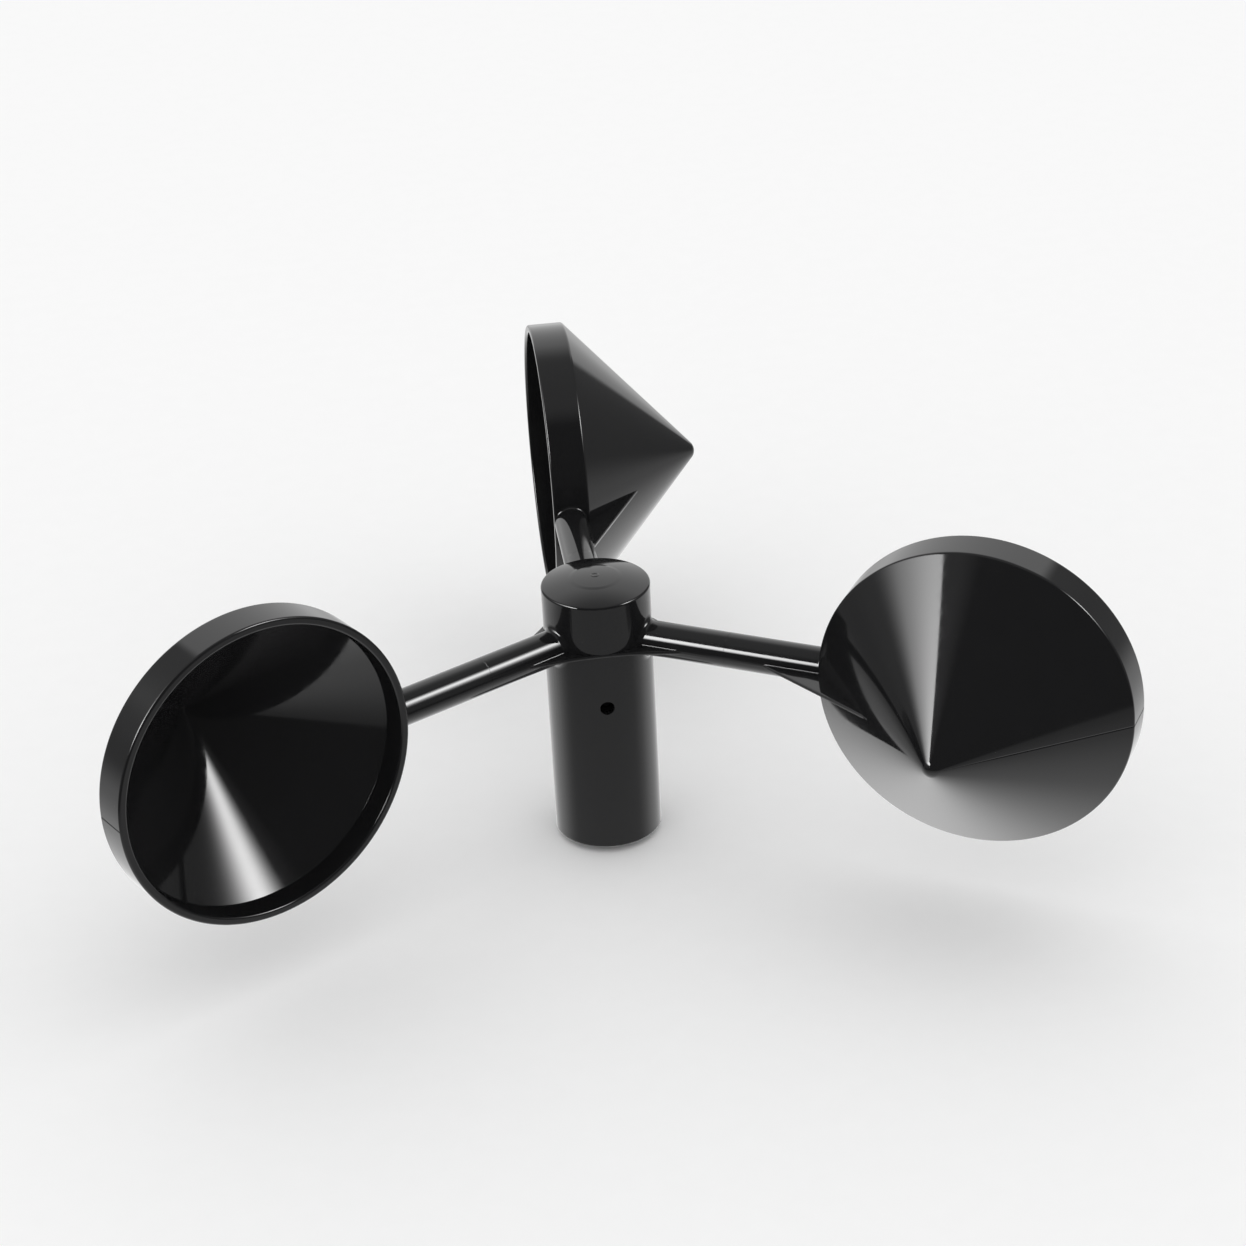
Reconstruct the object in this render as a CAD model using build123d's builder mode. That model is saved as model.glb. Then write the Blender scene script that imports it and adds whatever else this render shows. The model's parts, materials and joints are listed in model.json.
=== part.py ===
"""Cup anemometer head: a three-cup rotor with a hub and skirt, turning on a sealed spindle housing.

Millimetres, +Z up. The origin is on the spin axis, at the mouth of the thread in the foot's bottom face.
Arm 1 points along +Y, arms 2 and 3 follow at 120 degree steps, and the grub screw faces -Y.
Each cup is described by two coordinates: u runs outwards along its arm, and t runs from its mouth to its apex.
"""

import os
from math import cos, radians, sin

from build123d import *

os.makedirs("parts", exist_ok=True)

# ---- Driving dimensions: rotor ----
HUB_R = 7.5  # hub drum and skirt
SKIRT_WALL = 1.2
SKIRT_BOTTOM = 1.0  # clearance under the turning skirt
ARM_Z = 31.9  # mid-plane of the arms and cups
HUB_TOP = ARM_Z + 8.45
HUB_EDGE_R = 0.35
HUB_DOME = 1.2  # how far the domed top falls from its middle to the drum's radius
CAP_THICK = 2.6
ARM_R = 2.45
ARM_JOINT_U = 19.4  # where a cup's arm plugs onto the hub's stub
ARM_ROOT_FILLET = 0.8
ROOT_INSET = 0.3  # how far a joined piece starts inside the wall it grows from
SPIGOT_R = 1.5
SPIGOT_LENGTH = 5.5
SOCKET_R = 1.53
SOCKET_DEPTH = 5.8
JOINT_CHAMFER = 0.12
WEB_THICK = 0.45  # web between the arms and gusset beside each cup, both below the parting plane at ARM_Z
WEB_TOUCH_R = HUB_R + 0.1  # nearest point of the web's concave edge to the axis
WEB_SCOOP_R = 45.0
WEB_END_R = 15.0  # the web ends inside the arms at this radius

CUP_U = 54.4  # from the spin axis to a cup's axis
CUP_R = 21.4
CUP_INNER_R = 20.25
CUP_MOUTH_T = -2.5
CUP_RIM_T = 2.7  # end of the cylindrical rim, start of the cone
CUP_APEX_T = 22.1  # where the outer cone's lines meet, before rounding
CUP_APEX_R = 1.8
CUP_INNER_BASE_R = 20.15
CUP_INNER_BASE_T = 0.9
CUP_INNER_APEX_T = 19.5
CUP_LIP_R = 0.3
CUP_EDGE_R = 0.5
ARM_END_U = CUP_U - CUP_INNER_R - 0.45  # inside the rim's wall
GUSSET_ARM_U = 24.9
GUSSET_CONE_U = 42.2
GUSSET_ARM_T = (1.25, 2.35)  # its root inside the arm
GUSSET_INSET = 0.5  # how far the gusset reaches into the cone's wall

# ---- Driving dimensions: spindle and its clamp ----
FIT_GAP = 0.01  # radial gap of pressed and bonded pieces within one body
SPINDLE_R = 1.5
SPINDLE_Z = (8.05, 33.5)
SPINDLE_CHAMFER = 0.2
BUSH_R = 2.4
BUSH_Z = (21.0, 34.0)
BUSH_GROOVE_Z = (26.5, 30.5)
BUSH_GROOVE_DEPTH = 0.25
BUSH_GROOVE_WIDTH = 1.0
BOSS_R = 3.8
GRUB_Z = ARM_Z - 8.4
GRUB_R = 1.0  # M2 grub screw, its thread at nominal size
GRUB_AZIMUTH = 270
GRUB_SPAN = (1.25, 5.2)  # tip and socket end, from the spin axis
GRUB_SOCKET_DEPTH = 1.2
GRUB_SOCKET = 0.9  # across flats
THREAD_GAP = 0.02  # between a screw and its thread
SCREW_CHAMFER = 0.15
GRUB_BOSS_R = 2.0
FLAT_DISTANCE = 1.2  # from the spin axis to the spindle's flat
FLAT_Z = (GRUB_Z - 1.7, GRUB_Z + 1.7)

# ---- Driving dimensions: bearings, 3 x 8 x 3 ----
BEARING_R = 4.0
BEARING_HALF = 1.5
INNER_RING_R = 2.25
OUTER_RING_R = 3.25
BALL_R = 0.6
BALL_COUNT = 7
BALL_GAP = 0.03
PITCH_R = 2.75
CAGE_R = (2.40, 3.10)
CAGE_HALF = 0.85
SHIELD_R = (2.40, 3.23)
SHIELD_Z = (1.28, 1.43)
RING_CHAMFER = 0.15
UPPER_BEARING_Z = 17.7
LOWER_BEARING_Z = 11.9
SPACER_R = 2.1

# ---- Driving dimensions: stator ----
HOUSING_R = 5.5
HOUSING_Z = (1.2, 20.3)
HOUSING_CHAMFER = 0.3
BEARING_SEAT_END = (0.6, 1.2)  # the lower seat runs out into the chamber over these distances below its bearing
CHAMBER_R = 4.6
SHOULDER_R = 3.3
CAP_HOLE_R = 2.4
CAP_Z = (19.25, 20.3)
CAP_WRENCH_R = 0.35
CAP_WRENCH_DEPTH = 0.6
PLUG_TOP = 5.0
PLUG_R = CHAMBER_R - 0.02
SEAL_Z = 2.05
SEAL_R = 0.39
SEAL_PITCH_R = 4.18
SEAL_GROOVE = 0.9
SEAL_FLOOR_R = SEAL_PITCH_R - SEAL_R - FIT_GAP
THREAD_R = 1.25  # M3, at its tapping size
THREAD_DEPTH = 3.0
LOCK_Z = 3.7
LOCK_R = 0.8
LOCK_SPAN = (2.95, 5.35)
LOCK_SEAT_GAP = 0.05
LOCK_SOCKET = 0.7
LOCK_SOCKET_DEPTH = 0.8
LOCK_AZIMUTHS = (0, 180)
PIN_R = 0.25
PIN_X = 1.0
PIN_Y = 2.5
PIN_Z = (0.4, 6.2)
OUTLET = (3.6, 1.4, 1.8)
BOARD_R = 4.4
BOARD_Z = (PLUG_TOP, PLUG_TOP + 0.8)
REED_R = 0.7
REED_LENGTH = 6.0
REED_END_R = 0.56
REED_Y = -2.2
REED_Z = BOARD_Z[1] + 0.72
LEAD_R = 0.15
LEAD_X = 3.6
LEAD_BEND_R = 0.3
LEAD_END_Z = BOARD_Z[0] + 0.1
HOLE_GAP = 0.02  # between a pin or lead and the hole it passes through
CARRIER_R = 3.4
CARRIER_Z = (7.6, 9.6)
MAGNET_R = 0.75
MAGNET_Z = (7.65, 8.85)
MAGNET_PITCH_R = 2.4
CLIP_Z = (9.7, 10.3)
CLIP_R = 2.4
CLIP_GAP = 0.02
CLIP_NOTCH_R = 0.3
CLIP_NOTCH_U = 1.4
GROOVE_R = 1.15
CARRIER_CHAMFER = 0.2


def save(builder, name):
    """Writes one finished piece as its own node."""
    builder.part.label = name
    export_step(builder.part, f"parts/{name}.step")


def tube(outer, inner, low, high):
    """A plain ring about the spin axis."""
    with BuildPart() as ring:
        with BuildSketch(Plane.XY.offset(low)):
            Circle(outer)
            Circle(inner, mode=Mode.SUBTRACT)
        extrude(amount=high - low)
    return ring


def arm_frame(azimuth):
    """Sketch plane of one arm's mid-plane: x is u and y is t, measured from the spin axis."""
    outwards = (cos(radians(azimuth)), sin(radians(azimuth)), 0)
    return Plane(origin=(0, 0, ARM_Z), x_dir=outwards, z_dir=(0, 0, -1))


def radial_plane(azimuth, distance, height):
    """Plane across a radial line at that distance from the spin axis, facing outwards."""
    outwards = Vector(cos(radians(azimuth)), sin(radians(azimuth)), 0)
    origin = Vector(0, 0, height) + outwards * distance
    return Plane(origin=origin, x_dir=(0, 0, 1), z_dir=outwards)


ARM_AZIMUTHS = (90, 210, 330)
SKIRT_INNER_R = HUB_R - SKIRT_WALL


# ---- Rotor: hub with skirt, stub arms and web ----
with BuildPart() as hub:
    with BuildSketch(Plane.XZ):
        with BuildLine():
            dome = ThreePointArc(
                (0, HUB_TOP),
                (HUB_R / 2, HUB_TOP - HUB_DOME * 0.25),
                (HUB_R - HUB_EDGE_R, HUB_TOP - HUB_DOME * (1 - HUB_EDGE_R / HUB_R) ** 2),
            )
            edge = RadiusArc(
                dome @ 1, (HUB_R, HUB_TOP - HUB_DOME - HUB_EDGE_R * 0.8), HUB_EDGE_R
            )
            Polyline(
                edge @ 1,
                (HUB_R, SKIRT_BOTTOM),
                (SKIRT_INNER_R, SKIRT_BOTTOM),
                (SKIRT_INNER_R, HUB_TOP - CAP_THICK),
                (BOSS_R, HUB_TOP - CAP_THICK),
                (BOSS_R, BUSH_Z[0]),
                (BUSH_R, BUSH_Z[0]),
                (BUSH_R, BUSH_Z[1]),
                (0, BUSH_Z[1]),
                (0, HUB_TOP),
            )
        make_face()
    revolve(axis=Axis.Z)
    # stub arms, rooted inside the drum's wall
    for azimuth in ARM_AZIMUTHS:
        with BuildSketch(radial_plane(azimuth, SKIRT_INNER_R + ROOT_INSET, ARM_Z)):
            Circle(ARM_R)
        extrude(amount=ARM_JOINT_U - SKIRT_INNER_R - ROOT_INSET)
    fillet(hub.edges().filter_by(GeomType.BSPLINE), radius=ARM_ROOT_FILLET)
    # web under the parting plane: a disc scooped out between the arms
    with BuildSketch(Plane.XY.offset(ARM_Z - WEB_THICK)):
        Circle(WEB_END_R)
        with PolarLocations(WEB_TOUCH_R + WEB_SCOOP_R, len(ARM_AZIMUTHS), start_angle=ARM_AZIMUTHS[0] + 60):
            Circle(WEB_SCOOP_R, mode=Mode.SUBTRACT)
        Circle(SKIRT_INNER_R + ROOT_INSET, mode=Mode.SUBTRACT)
    extrude(amount=WEB_THICK)
    # boss that carries the grub screw from the skirt to the spindle's bush
    with BuildSketch(radial_plane(GRUB_AZIMUTH, BOSS_R - ROOT_INSET, GRUB_Z)):
        Circle(GRUB_BOSS_R)
    extrude(amount=SKIRT_INNER_R - BOSS_R + 2 * ROOT_INSET)
    with BuildSketch(radial_plane(GRUB_AZIMUTH, BUSH_R - ROOT_INSET, GRUB_Z)):
        Circle(GRUB_R)
    extrude(amount=HUB_R, mode=Mode.SUBTRACT)
    # sockets for the cups' spigots
    for azimuth in ARM_AZIMUTHS:
        with BuildSketch(radial_plane(azimuth, ARM_JOINT_U - SOCKET_DEPTH, ARM_Z)):
            Circle(SOCKET_R)
        extrude(amount=SOCKET_DEPTH, mode=Mode.SUBTRACT)
save(hub, "hub")


# ---- Rotor: cups, each with its arm and gusset ----
cone_slope = (CUP_APEX_T - CUP_RIM_T) / CUP_R  # t gained per unit of radius lost
apex_touch_r = CUP_APEX_R * cone_slope / (1 + cone_slope**2) ** 0.5
apex_touch_t = CUP_APEX_T - cone_slope * apex_touch_r
apex_tip_t = apex_touch_t + CUP_APEX_R - CUP_APEX_R / (1 + cone_slope**2) ** 0.5


def cone_t(u):
    """t of the outer cone's surface at distance u, on the hub's side of the cup's axis."""
    return CUP_APEX_T - cone_slope * (CUP_U - u)


def edges_at(edges, frame, t):
    """The edges whose centres lie at distance t along a cup's axis."""
    return [e for e in edges if abs(frame.to_local_coords(e.arc_center).Y - t) < 0.01]


for number, azimuth in enumerate(ARM_AZIMUTHS, start=1):
    frame = arm_frame(azimuth)
    axis_line = Axis(frame.from_local_coords((CUP_U, 0, 0)), frame.y_dir)
    with BuildPart() as cup:
        with BuildSketch(frame):
            with BuildLine():
                tip = RadiusArc(
                    (CUP_U, apex_tip_t), (CUP_U + apex_touch_r, apex_touch_t), CUP_APEX_R
                )
                Polyline(
                    tip @ 1,
                    (CUP_U + CUP_R, CUP_RIM_T),
                    (CUP_U + CUP_R, CUP_MOUTH_T),
                    (CUP_U + CUP_INNER_R, CUP_MOUTH_T),
                    (CUP_U + CUP_INNER_BASE_R, CUP_INNER_BASE_T),
                    (CUP_U, CUP_INNER_APEX_T),
                    (CUP_U, apex_tip_t),
                )
            make_face()
        revolve(axis=axis_line)
        circles = cup.edges().filter_by(GeomType.CIRCLE)
        fillet(edges_at(circles, frame, CUP_MOUTH_T), radius=CUP_LIP_R)
        circles = cup.edges().filter_by(GeomType.CIRCLE)
        fillet(edges_at(circles, frame, CUP_RIM_T), radius=CUP_EDGE_R)
        # arm, ending inside the rim's wall
        with BuildSketch(radial_plane(azimuth, ARM_JOINT_U, ARM_Z)):
            Circle(ARM_R)
        extrude(amount=ARM_END_U - ARM_JOINT_U)
        inner_end = cup.edges().filter_by(GeomType.CIRCLE).sort_by_distance((0, 0, ARM_Z))[0]
        chamfer(inner_end, length=JOINT_CHAMFER)
        # gusset between the arm and the cone, under the parting plane
        with BuildSketch(frame):
            with BuildLine():
                Polyline(
                    (GUSSET_ARM_U, GUSSET_ARM_T[1]),
                    (GUSSET_CONE_U, cone_t(GUSSET_CONE_U)),
                    (GUSSET_CONE_U + GUSSET_INSET, cone_t(GUSSET_CONE_U) - GUSSET_INSET),
                    (CUP_U - CUP_R + GUSSET_INSET, CUP_RIM_T - GUSSET_INSET),
                    (GUSSET_ARM_U, GUSSET_ARM_T[0]),
                    close=True,
                )
            make_face()
        extrude(amount=WEB_THICK)
        # spigot that plugs into the hub's stub
        with BuildSketch(radial_plane(azimuth, ARM_JOINT_U - SPIGOT_LENGTH, ARM_Z)):
            Circle(SPIGOT_R)
        extrude(amount=SPIGOT_LENGTH + 1)
    save(cup, f"cup_{number}")


# ---- Rotor: spindle and what is clamped to it ----
with BuildPart() as shaft_bush:
    with BuildSketch(Plane.XY.offset(BUSH_Z[0])):
        Circle(BUSH_R - FIT_GAP)
        Circle(SPINDLE_R + FIT_GAP, mode=Mode.SUBTRACT)
    extrude(amount=BUSH_Z[1] - BUSH_Z[0])
    with BuildSketch(radial_plane(GRUB_AZIMUTH, 0, GRUB_Z)):
        Circle(GRUB_R)
    extrude(amount=BUSH_R + 1, mode=Mode.SUBTRACT)
    # two retaining grooves, filled by the moulding in the real part
    for height in BUSH_GROOVE_Z:
        with BuildSketch(Plane.XY.offset(height)):
            Circle(BUSH_R + 1)
            Circle(BUSH_R - BUSH_GROOVE_DEPTH, mode=Mode.SUBTRACT)
        extrude(amount=BUSH_GROOVE_WIDTH, mode=Mode.SUBTRACT)
save(shaft_bush, "shaft_bush")

with BuildPart() as spindle:
    with BuildSketch(Plane.XY.offset(SPINDLE_Z[0])):
        Circle(SPINDLE_R)
    extrude(amount=SPINDLE_Z[1] - SPINDLE_Z[0])
    chamfer(spindle.edges().filter_by(GeomType.CIRCLE), length=SPINDLE_CHAMFER)
    with BuildSketch(Plane.XY.offset(CLIP_Z[0] - CLIP_GAP)):
        Circle(SPINDLE_R + 1)
        Circle(GROOVE_R, mode=Mode.SUBTRACT)
    extrude(amount=CLIP_Z[1] - CLIP_Z[0] + 2 * CLIP_GAP, mode=Mode.SUBTRACT)
    with BuildSketch(Plane.XY.offset(FLAT_Z[0])):
        with Locations((0, -FLAT_DISTANCE - SPINDLE_R)):
            Rectangle(4 * SPINDLE_R, 2 * SPINDLE_R)
    extrude(amount=FLAT_Z[1] - FLAT_Z[0], mode=Mode.SUBTRACT)
save(spindle, "spindle")


def socket_screw(azimuth, height, radius, span, across_flats, socket_depth):
    """A radial grub screw with its socket facing outwards."""
    with BuildPart() as screw:
        with BuildSketch(radial_plane(azimuth, span[0], height)):
            Circle(radius - THREAD_GAP)
        extrude(amount=span[1] - span[0])
        chamfer(screw.edges().filter_by(GeomType.CIRCLE), length=SCREW_CHAMFER)
        with BuildSketch(radial_plane(azimuth, span[1] - socket_depth, height)):
            RegularPolygon(radius=across_flats / 2, side_count=6, major_radius=False)
        extrude(amount=socket_depth, mode=Mode.SUBTRACT)
    return screw


grub_screw = socket_screw(
    GRUB_AZIMUTH, GRUB_Z, GRUB_R, GRUB_SPAN, GRUB_SOCKET, GRUB_SOCKET_DEPTH
)
save(grub_screw, "grub_screw")

shaft_collar = tube(
    SPACER_R, SPINDLE_R + FIT_GAP, UPPER_BEARING_Z + BEARING_HALF, BUSH_Z[0]
)
save(shaft_collar, "shaft_collar")

bearing_spacer = tube(
    SPACER_R,
    SPINDLE_R + FIT_GAP,
    LOWER_BEARING_Z + BEARING_HALF,
    UPPER_BEARING_Z - BEARING_HALF,
)
save(bearing_spacer, "bearing_spacer")

with BuildPart() as retaining_clip:
    with BuildSketch(Plane.XY.offset(CLIP_Z[0])):
        Circle(CLIP_R)
        Circle(GROOVE_R + FIT_GAP, mode=Mode.SUBTRACT)
        with Locations((CLIP_R, 0)):
            Rectangle(2 * CLIP_R, 2 * GROOVE_R, mode=Mode.SUBTRACT)
        with PolarLocations(CLIP_NOTCH_U, 3):
            Circle(CLIP_NOTCH_R, mode=Mode.SUBTRACT)
    extrude(amount=CLIP_Z[1] - CLIP_Z[0])
save(retaining_clip, "retaining_clip")

with BuildPart() as magnet_carrier:
    with BuildSketch(Plane.XY.offset(CARRIER_Z[0])):
        Circle(CARRIER_R)
    extrude(amount=CARRIER_Z[1] - CARRIER_Z[0])
    chamfer(magnet_carrier.edges().filter_by(GeomType.CIRCLE), length=CARRIER_CHAMFER)
    with BuildSketch(Plane.XY.offset(SPINDLE_Z[0])):
        Circle(SPINDLE_R + FIT_GAP)
    extrude(amount=CARRIER_Z[1], mode=Mode.SUBTRACT)
    with BuildSketch(Plane.XY.offset(CARRIER_Z[0])):
        with PolarLocations(MAGNET_PITCH_R, 2, start_angle=90):
            Circle(MAGNET_R + FIT_GAP)
    extrude(amount=MAGNET_Z[1] - CARRIER_Z[0] + FIT_GAP, mode=Mode.SUBTRACT)
save(magnet_carrier, "magnet_carrier")

with BuildPart() as magnets:
    with BuildSketch(Plane.XY.offset(MAGNET_Z[0])):
        with PolarLocations(MAGNET_PITCH_R, 2, start_angle=90):
            Circle(MAGNET_R)
    extrude(amount=MAGNET_Z[1] - MAGNET_Z[0])
save(magnets, "magnets")


# ---- The two ball bearings ----
def bearing_ring(outer, inner, z):
    """A bearing ring with its ball groove, chamfered on the side away from the balls."""
    with BuildPart() as ring:
        with BuildSketch(Plane.XZ) as section:
            with Locations(((outer + inner) / 2, z)):
                Rectangle(outer - inner, 2 * BEARING_HALF)
            plain_side = Axis.X if outer > PITCH_R else -Axis.X
            chamfer(section.vertices().group_by(plain_side)[-1], length=RING_CHAMFER)
            with Locations((PITCH_R, z)):
                Circle(BALL_R + BALL_GAP, mode=Mode.SUBTRACT)
        revolve(axis=Axis.Z)
    return ring


for name, z in (("upper", UPPER_BEARING_Z), ("lower", LOWER_BEARING_Z)):
    inner_ring = bearing_ring(INNER_RING_R, SPINDLE_R + FIT_GAP, z)
    save(inner_ring, f"{name}_bearing_inner_ring")
    outer_ring = bearing_ring(BEARING_R, OUTER_RING_R, z)
    save(outer_ring, f"{name}_bearing_outer_ring")

    with BuildPart() as balls:
        with Locations((0, 0, z)):
            with PolarLocations(PITCH_R, BALL_COUNT):
                Sphere(BALL_R)
    save(balls, f"{name}_bearing_balls")

    with BuildPart() as cage:
        with BuildSketch(Plane.XY.offset(z - CAGE_HALF)):
            Circle(CAGE_R[1])
            Circle(CAGE_R[0], mode=Mode.SUBTRACT)
        extrude(amount=2 * CAGE_HALF)
        for ball in range(BALL_COUNT):
            with BuildSketch(radial_plane(ball * 360 / BALL_COUNT, CAGE_R[0] - ROOT_INSET, z)):
                Circle(BALL_R + BALL_GAP)
            extrude(amount=CAGE_R[1] - CAGE_R[0] + 2 * ROOT_INSET, mode=Mode.SUBTRACT)
    save(cage, f"{name}_bearing_cage")

    with BuildPart() as shields:
        for low in (z + SHIELD_Z[0], z - SHIELD_Z[1]):
            with BuildSketch(Plane.XY.offset(low)):
                Circle(SHIELD_R[1])
                Circle(SHIELD_R[0], mode=Mode.SUBTRACT)
            extrude(amount=SHIELD_Z[1] - SHIELD_Z[0])
    save(shields, f"{name}_bearing_shields")


# ---- Stator: housing, cap and foot ----
with BuildPart() as bearing_housing:
    with BuildSketch(Plane.XZ):
        with BuildLine():
            Polyline(
                (HOUSING_R, HOUSING_Z[0]),
                (HOUSING_R, HOUSING_Z[1] - HOUSING_CHAMFER),
                (HOUSING_R - HOUSING_CHAMFER, HOUSING_Z[1]),
                (BEARING_R + FIT_GAP, HOUSING_Z[1]),
                (BEARING_R + FIT_GAP, UPPER_BEARING_Z - BEARING_HALF),
                (SHOULDER_R, UPPER_BEARING_Z - BEARING_HALF),
                (SHOULDER_R, LOWER_BEARING_Z + BEARING_HALF),
                (BEARING_R + FIT_GAP, LOWER_BEARING_Z + BEARING_HALF),
                (BEARING_R + FIT_GAP, LOWER_BEARING_Z - BEARING_HALF - BEARING_SEAT_END[0]),
                (CHAMBER_R, LOWER_BEARING_Z - BEARING_HALF - BEARING_SEAT_END[1]),
                (CHAMBER_R, HOUSING_Z[0]),
                close=True,
            )
        make_face()
    revolve(axis=Axis.Z)
    for azimuth in LOCK_AZIMUTHS:
        with BuildSketch(radial_plane(azimuth, CHAMBER_R - ROOT_INSET, LOCK_Z)):
            Circle(LOCK_R)
        extrude(amount=HOUSING_R, mode=Mode.SUBTRACT)
save(bearing_housing, "bearing_housing")

with BuildPart() as bearing_cap:
    with BuildSketch(Plane.XY.offset(CAP_Z[0])):
        Circle(BEARING_R)
        Circle(CAP_HOLE_R, mode=Mode.SUBTRACT)
    extrude(amount=CAP_Z[1] - CAP_Z[0])
    with BuildSketch(Plane.XY.offset(CAP_Z[1])):
        with PolarLocations((BEARING_R + CAP_HOLE_R) / 2, 2):
            Circle(CAP_WRENCH_R)
    extrude(amount=-CAP_WRENCH_DEPTH, mode=Mode.SUBTRACT)
save(bearing_cap, "bearing_cap")

with BuildPart() as base_plug:
    with BuildSketch(Plane.XZ):
        with BuildLine():
            Polyline(
                (0, 0),
                (HOUSING_R - HOUSING_CHAMFER, 0),
                (HOUSING_R, HOUSING_CHAMFER),
                (HOUSING_R, HOUSING_Z[0]),
                (PLUG_R, HOUSING_Z[0]),
                (PLUG_R, SEAL_Z - SEAL_GROOVE / 2),
                (SEAL_FLOOR_R, SEAL_Z - SEAL_GROOVE / 2),
                (SEAL_FLOOR_R, SEAL_Z + SEAL_GROOVE / 2),
                (PLUG_R, SEAL_Z + SEAL_GROOVE / 2),
                (PLUG_R, PLUG_TOP),
                (0, PLUG_TOP),
                close=True,
            )
        make_face()
    revolve(axis=Axis.Z)
    # fixing thread, outlet for the lead's plug, passages for its two pins, and the lock screws' seats
    with BuildSketch():
        Circle(THREAD_R)
    extrude(amount=THREAD_DEPTH, mode=Mode.SUBTRACT)
    with BuildSketch():
        with Locations((0, PIN_Y)):
            Rectangle(OUTLET[0], OUTLET[1])
    extrude(amount=OUTLET[2], mode=Mode.SUBTRACT)
    with BuildSketch():
        with Locations((-PIN_X, PIN_Y), (PIN_X, PIN_Y)):
            Circle(PIN_R + HOLE_GAP)
    extrude(amount=PLUG_TOP, mode=Mode.SUBTRACT)
    for azimuth in LOCK_AZIMUTHS:
        with BuildSketch(radial_plane(azimuth, LOCK_SPAN[0] - LOCK_SEAT_GAP, LOCK_Z)):
            Circle(LOCK_R)
        extrude(amount=HOUSING_R, mode=Mode.SUBTRACT)
save(base_plug, "base_plug")

with BuildPart() as plug_seal:
    with Locations((0, 0, SEAL_Z)):
        Torus(SEAL_PITCH_R, SEAL_R)
save(plug_seal, "plug_seal")

lock_screws = [
    socket_screw(azimuth, LOCK_Z, LOCK_R, LOCK_SPAN, LOCK_SOCKET, LOCK_SOCKET_DEPTH)
    for azimuth in LOCK_AZIMUTHS
]
with BuildPart() as plug_screws:
    for screw in lock_screws:
        add(screw.part)
save(plug_screws, "plug_screws")


# ---- Stator: speed sensor ----
with BuildPart() as circuit_board:
    with BuildSketch(Plane.XY.offset(BOARD_Z[0])):
        Circle(BOARD_R)
        with Locations((-PIN_X, PIN_Y), (PIN_X, PIN_Y)):
            Circle(PIN_R + HOLE_GAP, mode=Mode.SUBTRACT)
        with Locations((-LEAD_X, REED_Y), (LEAD_X, REED_Y)):
            Circle(LEAD_R + HOLE_GAP, mode=Mode.SUBTRACT)
    extrude(amount=BOARD_Z[1] - BOARD_Z[0])
save(circuit_board, "circuit_board")

with BuildPart() as terminal_pins:
    with BuildSketch(Plane.XY.offset(PIN_Z[0])):
        with Locations((-PIN_X, PIN_Y), (PIN_X, PIN_Y)):
            Circle(PIN_R)
    extrude(amount=PIN_Z[1] - PIN_Z[0])
save(terminal_pins, "terminal_pins")

with BuildPart() as reed_switch:
    with BuildSketch(Plane.YZ.offset(-REED_LENGTH / 2)):
        with Locations((REED_Y, REED_Z)):
            Circle(REED_R)
    extrude(amount=REED_LENGTH)
    fillet(reed_switch.edges().filter_by(GeomType.CIRCLE), radius=REED_END_R)
save(reed_switch, "reed_switch")

with BuildPart() as reed_leads:
    for side in (-1, 1):
        with BuildLine():
            FilletPolyline(
                (side * REED_LENGTH / 2, REED_Y, REED_Z),
                (side * LEAD_X, REED_Y, REED_Z),
                (side * LEAD_X, REED_Y, LEAD_END_Z),
                radius=LEAD_BEND_R,
            )
        with BuildSketch(Plane.YZ.offset(side * REED_LENGTH / 2)):
            with Locations((REED_Y, REED_Z)):
                Circle(LEAD_R)
        sweep()
save(reed_leads, "reed_leads")
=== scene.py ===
"""Looks for the cup anemometer head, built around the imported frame.

Metres, +Z up, in the frame's own axes. The hub and the three cups are rebuilt here as fine meshes in gloss
black plastic. The spindle, bearings, housing and sensor inside keep their frame meshes and get their own
materials. A cup has its own coordinates: u runs outwards along its arm, t from its mouth to its apex, and z
up from the parting plane.
"""

import json
from math import acos, atan, cos, pi, radians, sin, sqrt, tan

import bmesh
import bpy
from mathutils import Matrix, Vector


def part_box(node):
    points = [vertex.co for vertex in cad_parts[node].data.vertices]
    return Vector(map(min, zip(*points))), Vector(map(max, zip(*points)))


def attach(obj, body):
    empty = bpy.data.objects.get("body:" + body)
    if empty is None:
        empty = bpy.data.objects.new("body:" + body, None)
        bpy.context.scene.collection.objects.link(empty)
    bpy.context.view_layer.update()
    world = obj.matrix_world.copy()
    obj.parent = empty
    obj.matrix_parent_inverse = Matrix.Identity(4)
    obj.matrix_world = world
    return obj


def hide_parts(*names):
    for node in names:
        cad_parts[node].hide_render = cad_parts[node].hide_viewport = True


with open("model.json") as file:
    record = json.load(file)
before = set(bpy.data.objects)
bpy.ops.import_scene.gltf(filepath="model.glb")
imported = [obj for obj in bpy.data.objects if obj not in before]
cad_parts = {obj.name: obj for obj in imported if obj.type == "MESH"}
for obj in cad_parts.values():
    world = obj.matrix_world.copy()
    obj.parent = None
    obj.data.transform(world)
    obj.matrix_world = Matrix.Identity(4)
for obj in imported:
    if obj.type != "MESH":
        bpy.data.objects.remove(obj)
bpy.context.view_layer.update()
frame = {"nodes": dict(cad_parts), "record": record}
MM = 0.001

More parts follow.
